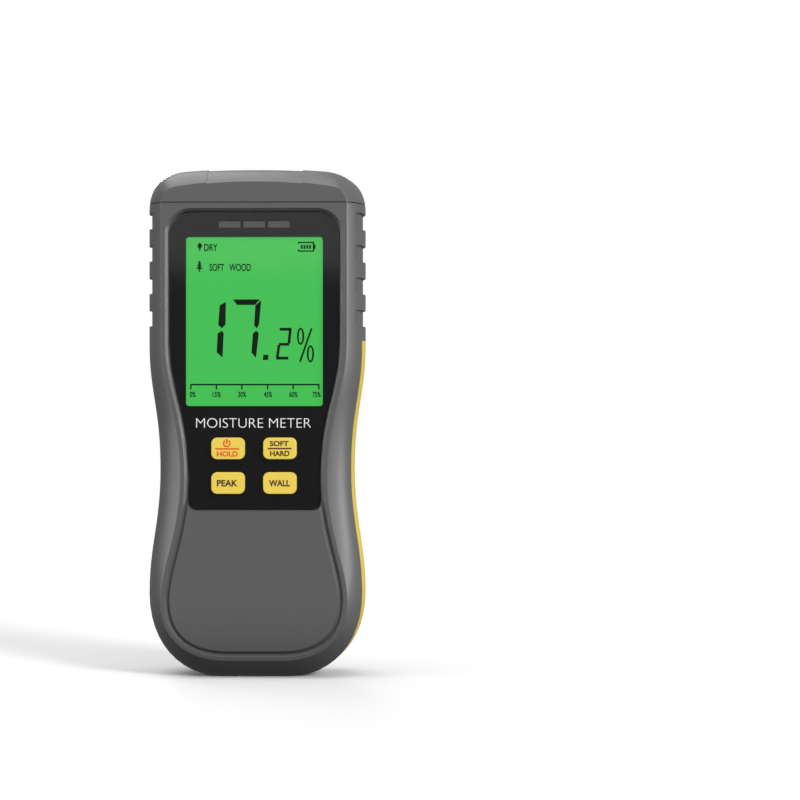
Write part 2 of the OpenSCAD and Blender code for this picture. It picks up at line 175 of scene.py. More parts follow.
def fromNode(node, name, edge, steps=2, angle=38):  # a node's own shape with its edges softened
    obj = copied(nodes[node], name)
    obj.parent = None
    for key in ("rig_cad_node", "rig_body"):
        del obj[key]
    obj.data.materials.clear()
    hold(obj)
    bpy.ops.object.mode_set(mode="EDIT")
    bpy.ops.mesh.select_all(action="SELECT")
    bpy.ops.mesh.remove_doubles(threshold=1e-7)
    bpy.ops.mesh.dissolve_limited(angle_limit=math.radians(1))
    freshStart()
    useModifier(obj, "BEVEL", width=edge * mm, segments=steps, limit_method="ANGLE",
                angle_limit=math.radians(angle), use_clamp_overlap=True)
    return smoothed(obj)


def done(obj, body, finish, slot, *replaced):
    obj.data.materials.clear()
    obj.data.materials.append(finish)
    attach(obj, body)
    if replaced:
        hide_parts(*replaced)
    return obj


class Wire:  # a socket that can be used in sums
    def __init__(self, tree, socket):
        self.tree = tree
        self.socket = socket

    def maths(self, kind, other, flip=False):
        step = self.tree.nodes.new("ShaderNodeMath")
        step.operation = kind
        for socket, value in zip(step.inputs, (other, self) if flip else (self, other)):
            if isinstance(value, Wire):
                self.tree.links.new(value.socket, socket)
            else:
                socket.default_value = value
        return Wire(self.tree, step.outputs[0])

    def __add__(self, other):
        return self.maths("ADD", other)

    __radd__ = __add__

    def __sub__(self, other):
        return self.maths("SUBTRACT", other)

    def __rsub__(self, other):
        return self.maths("SUBTRACT", other, True)

    def __mul__(self, other):
        return self.maths("MULTIPLY", other)

    __rmul__ = __mul__

    def __gt__(self, other):
        return self.maths("GREATER_THAN", other)


class NodeMaker:  # adds nodes to one node tree
    def __init__(self, tree):
        self.tree = tree

    def make(self, kind, settings=None, inputs=None, out=0):
        step = self.tree.nodes.new(kind)
        for key, value in (settings or {}).items():
            setattr(step, key, value)
        for key, value in (inputs or {}).items():
            if isinstance(value, Wire):
                self.tree.links.new(value.socket, step.inputs[key])
            else:
                step.inputs[key].default_value = value
        return Wire(self.tree, step.outputs[out])


class Finish(NodeMaker):
    def __init__(self, name, **fixed):
        self.material = bpy.data.materials.new(name)
        self.material.use_nodes = True
        super().__init__(self.material.node_tree)
        self.shader = next(n for n in self.tree.nodes if n.type == "BSDF_PRINCIPLED")
        for key, value in fixed.items():
            self.shader.inputs[key.replace("_", " ")].default_value = value
        self.place = self.make("ShaderNodeTexCoord", out="Object")

    def noise(self, size, detail=2.0, place=None):  # patches about size millimetres across
        return self.make("ShaderNodeTexNoise", None,
                         {"Vector": place or self.place, "Scale": 1 / (size * mm), "Detail": detail})

    def stretched(self, x, y, z):
        return self.make("ShaderNodeMapping", None, {"Vector": self.place, "Scale": (x, y, z)})

    def mixed(self, share, first, second):
        return self.make("ShaderNodeMix", {"data_type": "RGBA"}, {0: share, 6: first, 7: second}, 2)

    def feed(self, **wires):
        for key, wire in wires.items():
            self.tree.links.new(wire.socket, self.shader.inputs[key.replace("_", " ")])

    def bump(self, height, strength, depth):
        self.feed(Normal=self.make("ShaderNodeBump", None,
                                   {"Height": height, "Strength": strength, "Distance": depth * mm}))


def shade(colour, factor):
    return (*[min(c * factor, 1) for c in colour[:3]], 1)


footPaintedShade = {"reach": 0.024, "tone": 0.3}  # painted shade near the foot: it goes this high, in metres, and is this dark


def plainFinish(name, colour, rough, grain=0.3, bumpy=0.15, depth=0.03, spread=0.05, broad=18,
                foot=0.0, **fixed):
    # moulded plastic or rubber: fine grain, faint cloudiness and a roughness that follows both
    made = Finish(name, **fixed)
    fine = made.noise(grain, 3)
    cloud = made.noise(broad, 3)
    tone = made.mixed(cloud, shade(colour, 1 - spread), shade(colour, 1 + spread))
    if foot:  # painted shade: the colour gets darker towards the foot
        height = made.make("ShaderNodeSeparateXYZ", None, {"Vector": made.place}, 2)
        low = made.make("ShaderNodeMapRange", {"interpolation_type": "SMOOTHSTEP"},
                        {"Value": height, "From Min": 0.0, "From Max": footPaintedShade["reach"],
                         "To Min": foot, "To Max": 0.0})
        tone = made.mixed(low, tone, shade(colour, footPaintedShade["tone"]))
    made.feed(Base_Color=tone, Roughness=rough - 0.06 + fine * 0.06 + cloud * 0.06)
    made.bump(fine, bumpy, depth)
    return made.material


def glossFinish(name, colour, rough, **fixed):  # polished window or print under it
    made = Finish(name, **fixed)
    cloud = made.noise(30, 2)
    made.feed(Base_Color=made.mixed(cloud, shade(colour, 0.97), shade(colour, 1.03)),
              Roughness=rough + cloud * 0.01)
    return made.material


def metalFinish(name, colour, rough, along=(1, 1, 12), grain=0.4, **fixed):
    made = Finish(name, Metallic=1.0, **fixed)
    lines = made.noise(grain, 4, made.stretched(*along))
    stain = made.noise(6, 3)
    made.feed(Base_Color=made.mixed(stain, shade(colour, 0.9), shade(colour, 1.08)),
              Roughness=rough - 0.08 + lines * 0.16)
    made.bump(lines, 0.2, 0.01)
    return made.material


# the case's colour carries painted shade over its lowest 24 mm (foot=0.6)
caseFinish = plainFinish("caseGrain", (0.094, 0.094, 0.094), 0.38, 0.28, 0.14, 0.02, 0.03, foot=0.6)
capFinish = plainFinish("capSatin", (0.096, 0.096, 0.096), 0.35, 0.24, 0.12, 0.02, 0.03)
padFinish = plainFinish("padRubber", (0.105, 0.105, 0.105), 0.6, 0.35, 0.3, 0.03, 0.04)
bandFinish = plainFinish("bandRubber", (0.72, 0.52, 0.06), 0.42, 0.3, 0.12, 0.02, 0.04)
keyFinish = plainFinish("keyRubber", (0.80, 0.60, 0.085), 0.4, 0.22, 0.15, 0.02, 0.03)
inkFinish = glossFinish("windowInk", (0.004, 0.004, 0.004), 0.06)
sensorFinish = plainFinish("sensorGloss", (0.015, 0.015, 0.015), 0.24, 0.2, 0.1, 0.01, 0.06,
                           Specular_IOR_Level=0.25)
barFinish = plainFinish("frostedBars", (0.105, 0.105, 0.105), 0.5, 0.2, 0.1, 0.01, 0.03)
whiteFinish = plainFinish("whiteFrame", (0.8, 0.8, 0.78), 0.5)
backlightFinish = plainFinish("lightSpreader", (0.75, 0.82, 0.74), 0.3)
stripFinish = plainFinish("stripRubber", (0.7, 0.3, 0.38), 0.55)
carbonFinish = plainFinish("carbonPill", (0.012, 0.012, 0.012), 0.7)
siliconeFinish = plainFinish("siliconeSheet", (0.62, 0.6, 0.53), 0.5)
chipFinish = plainFinish("chipMould", (0.016, 0.016, 0.017), 0.5, 0.15, 0.3, 0.02)
blackFinish = plainFinish("blackMould", (0.012, 0.012, 0.012), 0.35)
redFinish = plainFinish("redLead", (0.45, 0.012, 0.01), 0.35)
leadFinish = plainFinish("blackLead", (0.012, 0.012, 0.012), 0.35)
foamFinish = plainFinish("openFoam", (0.03, 0.03, 0.032), 0.9, 0.6, 0.9, 0.2, 0.2)
canFinish = metalFinish("drawnCan", (0.62, 0.62, 0.64), 0.35)
tinFinish = metalFinish("tinPlate", (0.55, 0.56, 0.58), 0.3, (1, 12, 1))
zincFinish = metalFinish("zincScrew", (0.46, 0.46, 0.48), 0.38, (1, 1, 1))
darkScrewFinish = metalFinish("blackenedScrew", (0.03, 0.03, 0.032), 0.45, (1, 1, 1))
copperFinish = metalFinish("copperFoil", (0.62, 0.27, 0.12), 0.32, (10, 1, 1))
goldFinish = metalFinish("goldPin", (0.78, 0.55, 0.2), 0.25, (1, 8, 1))


def boardFinish():
    made = Finish("solderMask", Coat_Weight=0.3, Coat_Roughness=0.2)
    tracks = made.make("ShaderNodeTexBrick", {"offset": 0.5},
                       {"Vector": made.make("ShaderNodeMapping", None,
                                            {"Vector": made.place, "Rotation": (math.pi / 2, 0, 0)}),
                        "Scale": 260.0, "Mortar Size": 0.03, "Color1": (0, 0, 0, 1),
                        "Color2": (0, 0, 0, 1), "Mortar": (1, 1, 1, 1)}, 1)
    made.feed(Base_Color=made.mixed(tracks, (0.012, 0.11, 0.035, 1), (0.03, 0.2, 0.07, 1)),
              Roughness=0.3 + made.noise(0.4) * 0.2)
    made.bump(tracks, 0.3, 0.03)
    return made.material


jacketStep = 0.060  # the battery jacket changes colour at this height, in metres


def batteryFinish():
    made = Finish("batteryJacket", Coat_Weight=0.4, Coat_Roughness=0.15)
    height = made.make("ShaderNodeSeparateXYZ", None, {"Vector": made.place}, 2)
    end = height > jacketStep
    cloud = made.noise(3, 2)
    made.feed(Base_Color=made.mixed(end, (0.035, 0.037, 0.042, 1), (0.42, 0.2, 0.05, 1)),
              Roughness=0.28 + cloud * 0.1, Metallic=end * 0.6)
    made.bump(cloud, 0.1, 0.02)
    return made.material


def displayFinish():
    made = Finish("litDisplay", Roughness=0.07, Emission_Strength=1.0)
    cloud = made.noise(30, 1)
    cells = made.noise(0.35, 1)
    glow = made.mixed(cloud, (0.048, 0.505, 0.078, 1), (0.054, 0.530, 0.086, 1))
    made.feed(Base_Color=made.mixed(cells, (0.01, 0.05, 0.012, 1), (0.014, 0.06, 0.016, 1)),
              Emission_Color=glow)
    return made.material


def lensFinish():
    made = Finish("clearLens", Roughness=0.06, Specular_IOR_Level=0.35, Alpha=0.05)
    made.feed(Base_Color=made.mixed(made.noise(25), (0.006, 0.006, 0.006, 1), (0.012, 0.012, 0.012, 1)))
    return made.material


# white print with a faint painted glow (Emission Strength 0.12) that brightens it
glowingWhitePrint = plainFinish("whitePrintPaintedGlow", (0.95, 0.95, 0.94), 0.5, spread=0.02, Emission_Strength=0.12)
printRed = plainFinish("redPrint", (0.72, 0.09, 0.012), 0.5)
printBrown = plainFinish("brownPrint", (0.075, 0.022, 0.003), 0.5)
segmentFinish = plainFinish("darkSegment", (0.002, 0.009, 0.003), 0.4, Specular_IOR_Level=0.2)
faintSegment = plainFinish("fineSegment", (0.002, 0.014, 0.004), 0.4, Specular_IOR_Level=0.2)
lensMaterial = lensFinish()
displayMaterial = displayFinish()
print("finishes made")

nodeFinishes = {
    "lens_mask": inkFinish, "light_bars": barFinish, "lcd_glass": displayMaterial,
    "lcd_backlight": backlightFinish, "lcd_frame": whiteFinish, "contact_strip": stripFinish,
    "power_pill": carbonFinish, "wood_pill": carbonFinish, "peak_pill": carbonFinish,
    "building_pill": carbonFinish, "keypad_sheet": siliconeFinish, "main_board": boardFinish(),
    "controller_chip": chipFinish, "small_chips": chipFinish, "capacitors": canFinish,
    "crystal": tinFinish, "buzzer": blackFinish, "indicator_leds": whiteFinish,
    "board_screws": zincFinish, "shield_can": tinFinish, "sensor_electrode": copperFinish,
    "contact_pin": goldFinish, "battery_terminals": tinFinish, "red_lead": redFinish,
    "black_lead": leadFinish, "case_screws": darkScrewFinish,
}
for nodeName, material in nodeFinishes.items():
    for materialSlot in nodes[nodeName].material_slots:
        materialSlot.material = material


case = {
    "width": 71.4, "waist": 64.2, "height": 165.6, "depth": 32.0, "foot": 11.0,
    "strip": 8.0, "fall": 0.9, "seam": 154.1, "wall": 2.2, "frontIn": 12.2, "backIn": 13.6,
    "fine": 12, "crease": 0.12, "seamGap": 0.28,
}
halfWidth = case["width"] / 2
halfWaist = case["waist"] / 2
tall = case["height"]
halfDepth = case["depth"] / 2
# half outlines from the base to the top, in millimetres, as Bezier points and handles
sideNet = [(case["foot"], 0), (25.5, 0), (halfWidth, 11), (halfWidth, 27),
           (halfWidth, 43), (halfWaist, 50), (halfWaist, 68),
           (halfWaist, 87), (halfWidth, 93), (halfWidth, 108),
           (halfWidth, 123), (halfWidth, 137), (halfWidth, 152),
           (halfWidth, tall - 6), (halfWidth - 4.1, tall - 1.3), (22, tall - 0.7),
           (15, tall - 0.2), (7, tall), (0, tall)]
faceNet = [(9, 5.85), (20, 5.85), (halfWidth - 5.4, 11), (halfWidth - 5.4, 25),
           (halfWidth - 5.4, 35.5), (halfWaist - 8.35, 48), (halfWaist - 8.35, 65),
           (halfWaist - 8.35, 86), (halfWidth - 5.65, 93), (halfWidth - 5.65, 109),
           (halfWidth - 5.65, 124), (halfWidth - 5.65, 138), (halfWidth - 5.65, 153),
           (halfWidth - 5.65, 157.5), (28.3, 159.1), (24, tall - 6.1),
           (16, tall - 4.9), (8, tall - 4.4), (0, tall - 4.4)]


def between(first, second, share):
    return [((1 - share) * a[0] + share * b[0], (1 - share) * a[1] + share * b[1])
            for a, b in zip(first, second)]


def pulledIn(points, distance):  # moved along the normals, inwards
    made = []
    for i, p in enumerate(points):
        after = points[i + 1] if i + 1 < len(points) else (-points[i - 1][0], points[i - 1][1])
        before = points[i - 1] if i else (-points[0][0], points[0][1])
        tangent = Vector((after[0] - before[0], after[1] - before[1])).normalized()
        made.append((p[0] - distance * tangent.y, p[1] + distance * tangent.x))
    return made


def caseNet(y, pull=0.0):  # the half outline at a depth y
    fall = case["fall"] * min(abs(y) / case["strip"], 1)
    edge = [(x - fall * min(max((x - 18) / 12, 0), 1), z) for x, z in sideNet]
    v = max((abs(y) - case["strip"]) / (halfDepth - case["strip"]), 0)
    return pulledIn(between(edge, faceNet, 0.45 * v + 0.55 * v * v), pull)


def drawLoop(net, y):  # closed Bezier curve through a half outline and its mirror image, made a mesh
    freshStart()
    bpy.ops.curve.primitive_bezier_curve_add()
    obj = bpy.context.object
    obj.data.dimensions = "3D"
    obj.data.resolution_u = case["fine"]
    right = []
    for k in range(0, len(net), 3):
        p = net[k]
        left = net[k - 1] if k else (p[0] / 3, p[1])
        onward = net[k + 1] if k + 1 < len(net) else (-net[k - 1][0], net[k - 1][1])
        right.append((left, p, onward))
    flipped = [[(-x, z) for x, z in reversed(knot)] for knot in reversed(right[:-1])]
    knots = right + flipped
    spline = obj.data.splines[0]
    spline.bezier_points.add(len(knots) - len(spline.bezier_points))
    for point, (left, at, onward) in zip(spline.bezier_points, knots):
        point.handle_left_type = point.handle_right_type = "FREE"
        point.co = (at[0] * mm, y * mm, at[1] * mm)
        point.handle_left = (left[0] * mm, y * mm, left[1] * mm)
        point.handle_right = (onward[0] * mm, y * mm, onward[1] * mm)
    spline.use_cyclic_u = True
    bpy.ops.object.convert(target="MESH")
    return setPlace(bpy.context.object)


def drawShape(points, y, name="shape"):  # closed flat outline through [x, z] points, made a face
    freshStart()
    bpy.ops.curve.primitive_bezier_curve_add()
    obj = bpy.context.object
    obj.name = name
    obj.data.dimensions = "3D"
    obj.data.splines.clear()
    spline = obj.data.splines.new("POLY")
    spline.points.add(len(points) - 1)
    for point, (x, z) in zip(spline.points, points):
        point.co = (x * mm, y * mm, z * mm, 1)
    spline.use_cyclic_u = True
    bpy.ops.object.convert(target="MESH")
    return setPlace(bpy.context.object)


def filled(obj, thick):  # face in the outline, made a plate of that thickness towards +Y
    hold(obj)
    bpy.ops.object.mode_set(mode="EDIT")
    bpy.ops.mesh.select_mode(type="EDGE")
    bpy.ops.mesh.select_all(action="SELECT")
    bpy.ops.mesh.edge_face_add()
    bpy.ops.mesh.extrude_region_move(TRANSFORM_OT_translate={"value": (0, thick * mm, 0)})
    return tidyNormals(obj)


def bridged(rings, name, closed=False):
    obj = joinAll(rings, name)
    hold(obj)
    bpy.ops.object.mode_set(mode="EDIT")
    bpy.ops.mesh.select_mode(type="EDGE")
    bpy.ops.mesh.select_all(action="SELECT")
    bpy.ops.mesh.bridge_edge_loops(type="CLOSED" if closed else "SINGLE")
    freshStart()
    return obj


def atDepth(y):  # for edges that lie in the plane at that depth
    return lambda a, b: abs(a.y - y * mm) < 1e-7 and abs(b.y - y * mm) < 1e-7


def loft(nets, name):  # closed body through half outlines, each given with its depth
    obj = bridged([drawLoop(net, y) for y, net in nets], name)
    for y in (nets[0][0], nets[-1][0]):
        pickEdges(obj, atDepth(y))
        bpy.ops.mesh.edge_face_add()
    return tidyNormals(obj)


def loftCase(depths, name, pull=0.0):
    return loft([(y, caseNet(y, pull)) for y in depths], name)


def pathPoints(net, steps=10):  # points along a half outline
    made = [net[0]]
    for k in range(0, len(net) - 1, 3):
        a, b, c, d = net[k:k + 4]
        for i in range(1, steps + 1):
            t = i / steps
            s = 1 - t
            made.append(tuple(s ** 3 * a[j] + 3 * s * s * t * b[j] + 3 * s * t * t * c[j] + t ** 3 * d[j]
                              for j in (0, 1)))
    return made


def arc(x, z, radius, start, end, steps=8):
    return [(x + radius * math.cos(math.radians(a)), z + radius * math.sin(math.radians(a)))
            for a in (start + (end - start) * i / steps for i in range(steps + 1))]


def wholeShape(half):
    return half + [(-x, z) for x, z in reversed(half) if x > 0]


facePoints = pathPoints(faceNet)

sideTop = 142  # above this height an outline on the face ends in round corners


def panelShape(distance, top, corner):  # inside the flat face, with a level top
    inner = pulledIn(facePoints, distance)
    low = [p for p, q in zip(inner, facePoints) if q[1] < sideTop]
    x = low[-1][0]
    return wholeShape(low + arc(x - corner, top - corner, corner, 0, 90))


lens = {"inset": 2.2, "low": 54.3, "top": 151.35, "front": 15.3, "back": 13.88, "ledge": 13.6,
        "lowCorner": 3.0, "topCorner": 7.5, "sideFrom": 3.5, "edge": 0.2}


def lensShape(distance):
    inner = pulledIn(facePoints, lens["inset"] + distance)
    base, top = lens["low"] + distance, lens["top"] - distance
    side = [p for p, q in zip(inner, facePoints) if base + lens["sideFrom"] < p[1] and q[1] < sideTop]
    small, large = lens["lowCorner"], lens["topCorner"]
    return wholeShape(arc(side[0][0] - small, base + small, small, -90, 0) + side
                      + arc(side[-1][0] - large, top - large, large, 0, 90))


wide, through, overTop = (-40, 40), (-20, 20), 170  # tools that pass right through the case
frontCut, backCut = (-17, -11), 17  # tools that open the front, and the outer end of those in the back
wholeDepths = [-18, -16, -15, -14, -13, -12, -11, -10, -9, -8, 0, 8, 9, 10, 11, 12, 13, 14, 15, 16, 18]
frontDepths = [0, -8, -9, -10, -11, -12, -13, -14, -15, -15.5, -16]
backDepths = [-y for y in frontDepths]
screwsAt = [(27.3, 146.1), (22, 78.5), (22.5, 16.2)]
keys = {"power": (-8.4, 74.5), "wood": (8.4, 74.5), "peak": (-8.4, 63.3), "building": (8.4, 63.3)}
keyShape = {"size": (10.8, 7.0), "gap": 0.15, "corner": 2.05}
ribs = {"deep": 0.9, "thin": 0.35, "top": 151.17, "pitch": 10.56, "high": 5.27, "count": 4,
        "reach": 13.0, "round": 1.6, "x": (31, 38), "fade": 5}


def ribDepth(y):  # the notches get shallower towards the front and the back
    faded = min(max((abs(y) - case["strip"]) / ribs["fade"], 0), 1)
    return ribs["deep"] - (ribs["deep"] - ribs["thin"]) * faded


def ribBlocks():
    near, far = ribs["x"]
    blocks = []
    for i in range(ribs["count"]):
        top = ribs["top"] - i * ribs["pitch"]
        for x in ((-far, -near), (near, far)):
            block = brick(x, (-ribs["reach"], ribs["reach"]), (top - ribs["high"], top))
            pickEdges(block, lambda a, b: abs(a.x - b.x) > 1e-6)
            bpy.ops.mesh.bevel(offset=ribs["round"] * mm, segments=5, affect="EDGES")
            blocks.append(block)
    inner = loft([(y, caseNet(y, ribDepth(y))) for y in wholeDepths], "shrunk")
    for block in blocks:
        carve(block, copied(inner, "ribInner"))
    bpy.data.objects.remove(inner, do_unlink=True)
    return blocks


band = {"half": 8, "low": -1, "top": 109.6, "bed": 1.6, "clear": 0.03, "edge": 0.12,
        "depths": [-7.95, -7.6, -6, -4, -2, 0, 2, 4, 6, 7.6, 7.95]}


def bandTool(clear):
    tool = brick(wide, (-band["half"] - clear, band["half"] + clear), (band["low"], band["top"] + clear),
                 "bandTool")
    core = loft([(y, pulledIn(sideNet, band["bed"])) for y in (-band["half"] - 1, band["half"] + 1)],
                "bandCore")
    return carve(tool, core)


def keyHoles():
    size = [side + 2 * keyShape["gap"] for side in keyShape["size"]]
    return [roundBrick(at, size, keyShape["corner"], frontCut) for at in keys.values()]


front = {
    "moat": [(1.1, -16.14), (2.15, -15.0), (3.2, -16.14)],  # distance inside the face, depth
    "moatTop": 152.45, "moatCorner": 8.4, "lensGap": 0.1,
    "barPitch": 8, "barHalf": 3.55, "barHigh": (146.125, 148.275),
    "display": {"at": (0, 115.65), "size": (45.4, 55.8), "corner": 1.5},
}


def moatRing(distance, y):
    step = distance - front["moat"][0][0]
    return drawShape(panelShape(distance, front["moatTop"] - step, front["moatCorner"] - step), y)


def makeFront():
    shell = loftCase(frontDepths, "frontShell")
    softenRim(shell, case["crease"], 2, atDepth(-16))
    softenRim(shell, case["crease"], 1, atDepth(0))
    carve(shell, loftCase([1, -8, -10, -case["frontIn"]], "hollow", case["wall"]))
    carve(shell, brick(wide, (through[0], 1), (case["seam"], overTop)))
    carve(shell, tidyNormals(bridged([moatRing(*ring) for ring in front["moat"]], "moat", True)))
    recess = drawShape(lensShape(-front["lensGap"]), frontCut[0])
    carve(shell, filled(recess, -frontCut[0] - lens["ledge"]))
    holes = keyHoles()
    for i in (-1, 0, 1):
        x = i * front["barPitch"]
        holes.append(brick((x - front["barHalf"], x + front["barHalf"]), frontCut, front["barHigh"]))
    holes.append(roundBrick(**front["display"], y=frontCut))
    carve(shell, joinAll(holes, "openings"))
    carve(shell, bandTool(0))
    for block in ribBlocks():
        carve(shell, block)
    return smoothed(shell)


frontShell = makeFront()
done(frontShell, "case", caseFinish, "case_plastic", "front_case")
print("front shell made", len(frontShell.data.polygons))

rear = {
    "boss": 3.5, "bossY": (0, 14.1), "screwHole": 2.35, "screwHoleY": (5, backCut),
    "blocks": [((-14.9, 14.9), (-4.2, 14.1), (23.8, 85.15)),  # round the battery
               ((-10.75, 10.75), (3.4, 14.1), (15.0, 25.2))],  # round the latch
    "battery": ((-13.4, 13.4), (-3.3, backCut), (25.2, 83.75)),
    "door": {"at": (0, 54.475), "size": (28.2, 58.55), "corner": 2, "y": (14.3, backCut)},
    "latch": [((-9.25, 9.25), (4.9, 13.6), (16.5, 26.2)),
              ((-9.25, 9.25), (4.9, backCut), (17.9, 26.2)),
              ((-5.7, 5.7), (4.9, backCut), (16.5, 25.2))],
    "hinge": {"radius": 1.7, "half": 14.1, "y": 14.9, "z": 82.3},
    "thumb": [(16.0, 13.3), (17.0, 13.3), (17.0, 16.55), (14.1, 16.55)], "thumbWide": 11.4,
    "sensor": {"at": (0, 119.3), "size": (45.3, 45.3), "corner": 1, "y": (14.8, backCut)},
    "sensorHole": ((-20, 20), (12, 16), (99.3, 139.3)),
    "pads": [((13.2, 147.5), (21.8, 9.3)), ((21.2, 34.9), (9.3, 21.8))],  # place, size
    "padCorner": 2.6, "padY": (15.1, backCut),
}


def acrossX(obj, x, y, z):  # turns a shape that was made along Y to lie along X
    obj.rotation_euler = (0, 0, math.pi / 2)
    setPlace(obj)
    obj.location = (x * mm, y * mm, z * mm)
    return setPlace(obj)


def makeRear():
    shell = loftCase(backDepths, "rearShell")
    softenRim(shell, case["crease"], 2, atDepth(16))
    softenRim(shell, case["crease"], 1, atDepth(0))
    carve(shell, loftCase([-1, 8, 11, case["backIn"]], "hollow", case["wall"]))
    bosses = [rod((s * x, z), rear["boss"], rear["bossY"]) for x, z in screwsAt for s in (-1, 1)]
    carve(shell, joinAll(bosses, "bosses"), "UNION")
    for block in rear["blocks"]:
        carve(shell, brick(*block), "UNION")
    carve(shell, brick(wide, through, (case["seam"], overTop)))
    carve(shell, brick(*rear["battery"]))
    carve(shell, roundBrick(**rear["door"]))
    for room in rear["latch"]:
        carve(shell, brick(*room))
    hinge = rear["hinge"]
    relief = rod((0, 0), hinge["radius"], (-hinge["half"], hinge["half"]))
    carve(shell, acrossX(relief, 0, hinge["y"], hinge["z"]))
    scoop = filled(drawShape(rear["thumb"], 0), rear["thumbWide"])
    carve(shell, acrossX(scoop, rear["thumbWide"] / 2, 0, 0))
    carve(shell, roundBrick(**rear["sensor"]))
    carve(shell, brick(*rear["sensorHole"]))
    beds = [roundBrick((s * x, z), size, rear["padCorner"], rear["padY"])
            for (x, z), size in rear["pads"] for s in (-1, 1)]
    carve(shell, joinAll(beds, "padBeds"))
    holes = [rod((s * x, z), rear["screwHole"], rear["screwHoleY"]) for x, z in screwsAt for s in (-1, 1)]
    carve(shell, joinAll(holes, "screwHoles"))
    carve(shell, bandTool(0))
    for block in ribBlocks():
        carve(shell, block)
    return smoothed(shell)


rearShell = makeRear()
done(rearShell, "case", caseFinish, "case_plastic", "rear_case")
print("rear shell made", len(rearShell.data.polygons))

cap = {"in": [-12.2, -8, 8, 13.6], "wall": case["wall"] + 0.2,
       "recess": ((-15.5, 15.5), through, (157.6, 167)), "recessDeep": 0.28}


def makeCap():
    made = loftCase(frontDepths[:0:-1] + backDepths, "topCap")
    softenRim(made, case["crease"], 2, atDepth(-16))
    softenRim(made, case["crease"], 2, atDepth(16))
    carve(made, brick(wide, through, (-5, case["seam"] + case["seamGap"])))
    carve(made, loftCase(cap["in"], "hollow", cap["wall"]))
    carve(made, carve(brick(*cap["recess"]), loftCase(wholeDepths, "shrunk", cap["recessDeep"])))
    return smoothed(made)


topCap = makeCap()
done(topCap, "case", capFinish, "cap_plastic", "top_cap")


def makeBand():
    made = loftCase(band["depths"], "sideBand")
    carve(made, bandTool(-band["clear"]), "INTERSECT")
    useModifier(made, "BEVEL", width=band["edge"] * mm, segments=2, limit_method="ANGLE",
                angle_limit=math.radians(50))
    return smoothed(made)


sideBand = makeBand()
done(sideBand, "case", bandFinish, "band_rubber", "side_band")
sideBand.visible_diffuse = False  # no yellow glow on the floor
print("cap and band made")

lensPlate = filled(drawShape(lensShape(0), -lens["front"], "lensPlate"), lens["front"] - lens["back"])
carve(lensPlate, joinAll(keyHoles(), "keyHoles"))
softenRim(lensPlate, lens["edge"], 2, atDepth(-lens["front"]))
done(lensPlate, "case", lensMaterial, "clear_acrylic", "display_lens")

for keyName in keys:
    done(fromNode(keyName + "_key", keyName + "KeyCap", 0.3, 3), keyName + "_button", keyFinish,
         "key_rubber", keyName + "_key")

doorPanel = fromNode("battery_door", "doorPanel", 0.18, 2)
done(doorPanel, "door", caseFinish, "case_plastic", "battery_door")
latchArm = fromNode("door_latch", "latchArm", 0.15, 2)
done(latchArm, "latch", caseFinish, "case_plastic", "door_latch")
foamPad = fromNode("door_foam", "foamPad", 0.12, 2)
done(foamPad, "door", foamFinish, "foam", "door_foam")
sensorPlate = fromNode("sensor_window", "sensorPlate", 0.2, 2)
done(sensorPlate, "case", sensorFinish, "sensor_plastic", "sensor_window")
for padName in ("upper_pad_left", "upper_pad_right", "lower_pad_left", "lower_pad_right"):
    level, _, side = padName.split("_")
    pad = fromNode(padName, level + "Pad" + side.capitalize(), 0.25, 2)
    done(pad, "case", padFinish, "pad_rubber", padName)
batteryBlock = fromNode("battery_cell", "batteryBlock", 0.7, 4)
done(batteryBlock, "case", batteryFinish(), "battery_jacket", "battery_cell")
snapCap = fromNode("battery_snap", "snapCap", 0.4, 3)
done(snapCap, "case", blackFinish, "black_plastic", "battery_snap")
print("small parts made")

prints = {"thick": 0.04, "middle": 0.02, "round": 28}  # words lie in the middle of the lines' thickness


def words(text, at, high, wide, y, name, bold=0.0):  # raised print, high and wide in millimetres
    freshStart()
    bpy.ops.object.text_add(location=(0, 0, 0))
    obj = bpy.context.object
    obj.name = name
    obj.data.body = text
    obj.data.align_x = "CENTER"
    obj.data.offset = bold
    obj.data.extrude = 0.01
    bpy.ops.object.convert(target="MESH")
    obj = bpy.context.object
    xs = [v.co.x for v in obj.data.vertices]
    ys = [v.co.y for v in obj.data.vertices]
    obj.scale = (wide * mm / (max(xs) - min(xs)), high * mm / (max(ys) - min(ys)), mm)
    obj.location = (-(max(xs) + min(xs)) / 2 * obj.scale[0], -(max(ys) + min(ys)) / 2 * obj.scale[1], 0)
    setPlace(obj)
    obj.rotation_euler = (math.pi / 2, 0, 0)
    setPlace(obj)
    obj.location = (at[0] * mm, y * mm, at[1] * mm)
    return setPlace(obj)


def stroke(start, end, thick, y):  # straight line of print
    run = Vector((end[0] - start[0], end[1] - start[1]))
    side = Vector((-run.y, run.x)).normalized() * thick / 2
    corners = [(start[0] + side.x, start[1] + side.y), (start[0] - side.x, start[1] - side.y),
               (end[0] - side.x, end[1] - side.y), (end[0] + side.x, end[1] + side.y)]
    return filled(drawShape(corners, y, "stroke"), prints["thick"])


def ovalArc(at, rx, rz, start, end, steps):
    return [(at[0] + rx * math.cos(math.radians(a)), at[1] + rz * math.sin(math.radians(a)))
            for a in (start + (end - start) * i / steps for i in range(steps + 1))]


def ovalPrint(at, rx, rz, thick, y):  # closed oval line
    loops = [drawShape(ovalArc(at, rx - inset, rz - inset, 0, 360, prints["round"])[:-1], y)
             for inset in (0, thick)]
    obj = bridged(loops, "oval")
    hold(obj)
    bpy.ops.object.mode_set(mode="EDIT")
    bpy.ops.mesh.select_all(action="SELECT")
    bpy.ops.mesh.extrude_region_move(TRANSFORM_OT_translate={"value": (0, prints["thick"] * mm, 0)})
    return tidyNormals(obj)


def ringPrint(at, radius, thick, y, start, end):  # open arc
    outer = ovalArc(at, radius, radius, start, end, prints["round"])
    inner = ovalArc(at, radius - thick, radius - thick, end, start, prints["round"])
    return filled(drawShape(outer + inner, y), prints["thick"])


